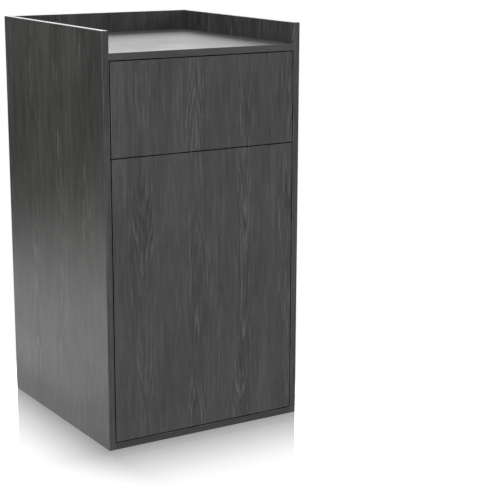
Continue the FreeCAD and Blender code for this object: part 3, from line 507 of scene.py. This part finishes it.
# shares of the head's radius or height, or of the thread's width
screwShape = {
    "top": (0.05, 0.96),       # inner and outer ring of the head's top
    "domeFall": 0.48,
    "domePower": 2.6,
    "arm": 0.62,               # reach of the cross
    "armWidth": 0.23,
    "armTaper": 0.45,
    "soft": 0.05,              # softness of the cross's walls
    "softEnd": 3,              # its ends are this much softer
    "sunk": 0.66,
    "sunkTaper": 0.6,
    "middle": 0.34,            # height of the recess at the axis
    "rimOut": (0.99, 1.0, 1.0, 0.985, 0.60),
    "rimUp": (0.49, 0.43, 0.06, 0.0, 0.0),
    "core": 0.74,
    "crest": 0.98,
    "ridge": 0.55,             # share of the pitch that the ridge takes
    "runIn": 0.4,              # plain shank under the head, millimetres
    "tip": 1.1,
    "tipEnd": 0.97,
    "turn": 0.61,              # no two recesses left at the same angle
    "crease": 38.0,
}


def smoothStep(value):
    value = np.clip(value, 0.0, 1.0)
    return value * value * (3.0 - 2.0 * value)


# screw: radius and height over the way along its outline and the angle round it; a head that falls by the
# 2.6th power of the radius with a tapered cross sunk in it, a flat seat, and a shank whose radius rises to
# a ridge once in each pitch, counted along the shank plus a turn
def screwSurface(look):
    grid, shape = screwGrid, screwShape
    angle = np.linspace(0.0, 2 * np.pi, grid["round"], endpoint=False)[None, :]
    headR, threadR, rise = look["head"] / 2, look["thread"] / 2, look["rise"]

    share = np.linspace(*shape["top"], grid["top"])[:, None]
    topR = headR * share + 0 * angle
    dome = rise * (1.0 - shape["domeFall"] * share ** shape["domePower"])
    alongX, alongY = np.abs(topR * np.cos(angle)), np.abs(topR * np.sin(angle))
    out = np.maximum(alongX, alongY)
    arm, soft = shape["arm"] * headR, shape["soft"] * headR
    width = shape["armWidth"] * headR * (1.0 - shape["armTaper"] * out / arm)

    def slot(far, near):
        return smoothStep((arm - far) / (shape["softEnd"] * soft)) * smoothStep((width - near) / soft + 0.5)

    cut = np.maximum(slot(alongX, alongY), slot(alongY, alongX))
    sunk = shape["sunk"] * rise * (1.0 - shape["sunkTaper"] * out / arm)
    topZ = dome - cut * np.maximum(sunk, 0.0)

    rimR = headR * np.array(shape["rimOut"])[:, None] + 0 * angle
    rimZ = rise * np.array(shape["rimUp"])[:, None] + 0 * angle

    coreR = shape["core"] * threadR
    tipLength = shape["tip"] * look["thread"]
    straight = look["length"] - tipLength
    tipSteps = np.linspace(0.0, shape["tipEnd"], grid["tip"] + 1)[1:]
    shankSteps = np.linspace(0.0, straight, grid["shank"])
    down = np.concatenate([shankSteps, straight + tipLength * tipSteps])[:, None]
    turn = (down / look["pitch"] + angle / (2 * np.pi)) % 1.0
    ridge = np.clip(1.0 - np.abs(2.0 * turn - 1.0) / shape["ridge"], 0.0, 1.0)
    runIn = smoothStep((down - shape["runIn"]) / look["pitch"])
    taper = np.clip((look["length"] - down) / tipLength, 0.0, 1.0)
    shankR = (coreR + (shape["crest"] * threadR - coreR) * ridge * runIn) * taper
    shankZ = -down + 0 * angle
    return (np.vstack([topR, rimR, shankR]), np.vstack([topZ, rimZ, shankZ]), angle,
            shape["middle"] * rise, -look["length"])


# closed skin over rings of points with one point at each end
def skinFaces(rings, around):
    ring = np.arange(rings - 1)[:, None] * around
    step = np.arange(around)[None, :]
    after = (step + 1) % around
    corners = [ring + step, ring + around + step, ring + around + after, ring + after]
    quads = np.stack(corners, axis=-1).reshape(-1, 4)
    first, lastRing = rings * around, (rings - 1) * around
    step, after = step[0], after[0]
    start = np.stack([np.full(around, first), step, after], axis=-1)
    end = np.stack([np.full(around, first + 1), lastRing + after, lastRing + step], axis=-1)
    return quads, np.vstack([start, end])


def makeScrews(node, look):
    radius, height, angle, topEnd, lowEnd = screwSurface(look)
    axis = np.array(look["looks"], float)
    across = np.cross((0.0, 0.0, 1.0), axis)
    quads, ends = skinFaces(*radius.shape)
    points, faces = [], []
    for index, seat in enumerate(look["seats"]):
        turned = angle + screwShape["turn"] * index
        skin = (np.array(seat) + height[..., None] * axis + (radius * np.cos(turned))[..., None] * across
                + (radius * np.sin(turned))[..., None] * np.cross(axis, across)).reshape(-1, 3)
        tips = np.array(seat) + np.outer((topEnd, lowEnd), axis)
        offset = sum(len(block) for block in points)
        points.append(np.vstack([skin, tips]))
        faces += (quads + offset).tolist() + (ends + offset).tolist()
    mesh = bpy.data.meshes.new("finished_" + node)
    mesh.from_pydata((np.vstack(points) * millimetre).tolist(), [], faces)
    mesh.update()
    mesh.polygons.foreach_set("use_smooth", np.ones(len(mesh.polygons), bool))
    mesh.set_sharp_from_angle(angle=math.radians(screwShape["crease"]))
    mesh.materials.append(slotFinish[slotOf[node]])
    piece = bpy.data.objects.new("finished_" + node, mesh)
    scene.collection.objects.link(piece)
    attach(piece, look["body"])
    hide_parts(node)


for name, look in screws.items():
    makeScrews(name, look)
print("screws cut:", sum(len(look["seats"]) for look in screws.values()))

# floor: white to the camera, with the object's shadow and a reflection that fades away from it
floorLook = {
    "size": 60.0,
    "drop": 0.0002,
    "pale": (0.80, 0.80, 0.80, 1.0),
    "mirrorTone": (1.0, 1.0, 1.0, 1.0),
    "mirror": 0.65,                # share of the reflection at the object's foot
    "mirrorReach": 0.29,           # where it ends, metres
    "mirrorFall": 1.3,             # power by which it fades
    "mirrorTurn": (0.15, 0.55),    # it comes in as the view goes from steep to level
    "sideways": 1.6,               # how much faster it fades beside the object than before it
    "shade": 0.18,                 # share of the shadow at the object's foot
    "shadeReach": 0.36,
    "poolTurn": 32.1,              # degrees by which the lit floor's fade is turned
    "back": (0.8, 3.5),            # it falls to the back level between these
    "backLevel": 0.08,
    "far": (4.0, 15.0),            # and gains the far level between these
    "farLevel": 0.22,
    "frontEdge": 0.15,             # half the width of its fade at the object's front
    "frontLevel": 0.55,
}


def floorMaterial():
    look = floorLook
    material, tree = newTree("paleFloor")
    x, y, _ = splitXyz(tree, put(tree, "TexCoord").outputs["Object"])
    farX, farY = calc(tree, "ABSOLUTE", x), calc(tree, "ABSOLUTE", y)
    halfX, halfY, _ = cadBox[1]

    # distance from the object's foot: between the straight way and the way round a corner
    awayX = calc(tree, "MAXIMUM", calc(tree, "SUBTRACT", farX, halfX), 0.0)
    awayX = times(tree, awayX, look["sideways"])
    awayY = calc(tree, "MAXIMUM", calc(tree, "SUBTRACT", farY, halfY), 0.0)
    straight = calc(tree, "SQRT", total(tree, times(tree, awayX, awayX), times(tree, awayY, awayY)))
    away = times(tree, total(tree, straight, total(tree, awayX, awayY)), 0.5)
    fade = remap(tree, away, 0.0, look["mirrorReach"], 1.0, 0.0)
    grazing = put(tree, "LayerWeight").outputs["Facing"]
    mirror = times(tree, calc(tree, "POWER", fade, look["mirrorFall"]),
                   remap(tree, grazing, *look["mirrorTurn"], 0.0, look["mirror"], True))
    shade = remap(tree, away, 0.0, look["shadeReach"], 1.0, 0.0, True)

    lightPath = put(tree, "LightPath")
    white = put(tree, "Emission").outputs[0]
    pale = put(tree, "BsdfDiffuse")
    pale.inputs["Color"].default_value = look["pale"]
    gloss = put(tree, "BsdfGlossy")
    gloss.inputs["Color"].default_value = look["mirrorTone"]
    gloss.inputs["Roughness"].default_value = 0.0
    seen = blendShader(tree, times(tree, shade, look["shade"]), white, pale.outputs[0])
    seen = blendShader(tree, mirror, seen, gloss.outputs[0])

    # in reflections the lit floor falls away in front of the object and behind it
    pool = put(tree, "Emission")
    turn = math.radians(look["poolTurn"])
    back = total(tree, times(tree, y, math.cos(turn)), times(tree, farX, math.sin(turn)))
    behind = total(tree, remap(tree, back, *look["back"], 1.0, look["backLevel"], True),
                   remap(tree, back, *look["far"], 0.0, look["farLevel"]))
    before = remap(tree, y, -halfY - look["frontEdge"], -halfY + look["frontEdge"],
                   look["frontLevel"], 1.0, True)
    feed(tree, pool.inputs["Strength"], times(tree, behind, before))
    mirrored = calc(tree, "MAXIMUM", lightPath.outputs["Is Glossy Ray"],
                    lightPath.outputs["Is Transmission Ray"])
    lit = blendShader(tree, mirrored, pale.outputs[0], pool.outputs[0])
    output = put(tree, "OutputMaterial")
    tree.links.new(blendShader(tree, lightPath.outputs["Is Camera Ray"], lit, seen), output.inputs[0])
    return material


def makeFloor():
    size, drop = floorLook["size"], floorLook["drop"]
    gridX, gridY = np.meshgrid((-size, size), (-size, size))
    points = np.stack([gridX, gridY, np.full_like(gridX, -drop)], axis=-1).reshape(-1, 3)
    mesh = bpy.data.meshes.new("studioFloor")
    mesh.from_pydata(points.tolist(), [], [(0, 1, 3, 2)])
    mesh.materials.append(floorMaterial())
    floor = bpy.data.objects.new("studioFloor", mesh)
    scene.collection.objects.link(floor)


makeFloor()

# world: white to the camera and in the floor's reflection, a soft grey fill for everything else
worldLook = {"white": (1.0, 1.0, 1.0, 1.0), "seen": 1.0, "fill": 0.336, "mirrored": 0.224}
world = bpy.data.worlds.new("studioWorld")
scene.world = world
world.use_nodes = True
worldTree = world.node_tree
worldTree.nodes.clear()
path = put(worldTree, "LightPath").outputs
backdrop = put(worldTree, "Background")
backdrop.inputs["Color"].default_value = worldLook["white"]
glow = remap(worldTree, path["Is Glossy Ray"], 0.0, 1.0, worldLook["fill"], worldLook["mirrored"])
plainSight = calc(worldTree, "MAXIMUM", path["Is Camera Ray"], path["Is Singular Ray"])
feed(worldTree, backdrop.inputs["Strength"],
     remap(worldTree, plainSight, 0.0, 1.0, glow, worldLook["seen"]))
worldOut = put(worldTree, "OutputWorld")
worldTree.links.new(backdrop.outputs[0], worldOut.inputs[0])
print("floor and world set")

# soft boxes: place, what they look at, width, height and power
lamps = {
    "frontLeft": dict(place=(-3.0, -3.4, 2.6), target=(0, 0, 0.55), size=(2.4, 2.4), power=62),
    "frontRight": dict(place=(3.6, -2.9, 2.6), target=(0, 0, 0.55), size=(2.4, 2.4), power=50),
    "front": dict(place=(-1.0, -4.6, 0.9), target=(0, 0, 0.5), size=(1.6, 1.6), power=60),
    "left": dict(place=(-3.9, 1.3, 2.5), target=(0, 0, 0.7), size=(2.0, 2.0), power=30),
    "overhead": dict(place=(0.0, 0.2, 3.6), target=(0, 0, 0.5), size=(2.6, 2.6), power=60),
    "behind": dict(place=(1.9, 3.2, 2.0), target=(0.2, 0, 0.9), size=(4.2, 2.2), power=82),
    "lowLeft": dict(place=(-1.25, 1.15, 0.01), target=(-1.25, 1.15, 1.0), size=(1.7, 2.2), power=4.4),
}
for name, lamp in lamps.items():
    light = bpy.data.lights.new(name, "AREA")
    light.shape = "RECTANGLE"
    light.size, light.size_y = lamp["size"]
    light.energy = lamp["power"]
    box = bpy.data.objects.new(name, light)
    scene.collection.objects.link(box)
    box.location = lamp["place"]
    aim = Vector(lamp["target"]) - Vector(lamp["place"])
    box.rotation_euler = aim.to_track_quat("-Z", "Y").to_euler()
    box.visible_camera = False
print("lights set:", len(lamps))

# camera at the photograph's angle, roll in degrees
cameraLook = {
    "place": (-1.8864, -3.5002, 1.3825),
    "target": (0.3128, 0.0, 0.4102),
    "roll": 0.2011,
    "lens": 102.961,
    "sensor": 36.0,
    "clipEnd": 200.0,
}
cameraData = bpy.data.cameras.new("studioCamera")
cameraData.lens = cameraLook["lens"]
cameraData.sensor_width = cameraLook["sensor"]
cameraData.clip_end = cameraLook["clipEnd"]
camera = bpy.data.objects.new("studioCamera", cameraData)
scene.collection.objects.link(camera)
camera.location = cameraLook["place"]
sight = Vector(cameraLook["target"]) - Vector(cameraLook["place"])
camera.rotation_mode = "QUATERNION"
roll = Quaternion((0.0, 0.0, 1.0), math.radians(cameraLook["roll"]))
camera.rotation_quaternion = sight.to_track_quat("-Z", "Y") @ roll
scene.camera = camera
scene.view_settings.view_transform = "Standard"
print("camera set")
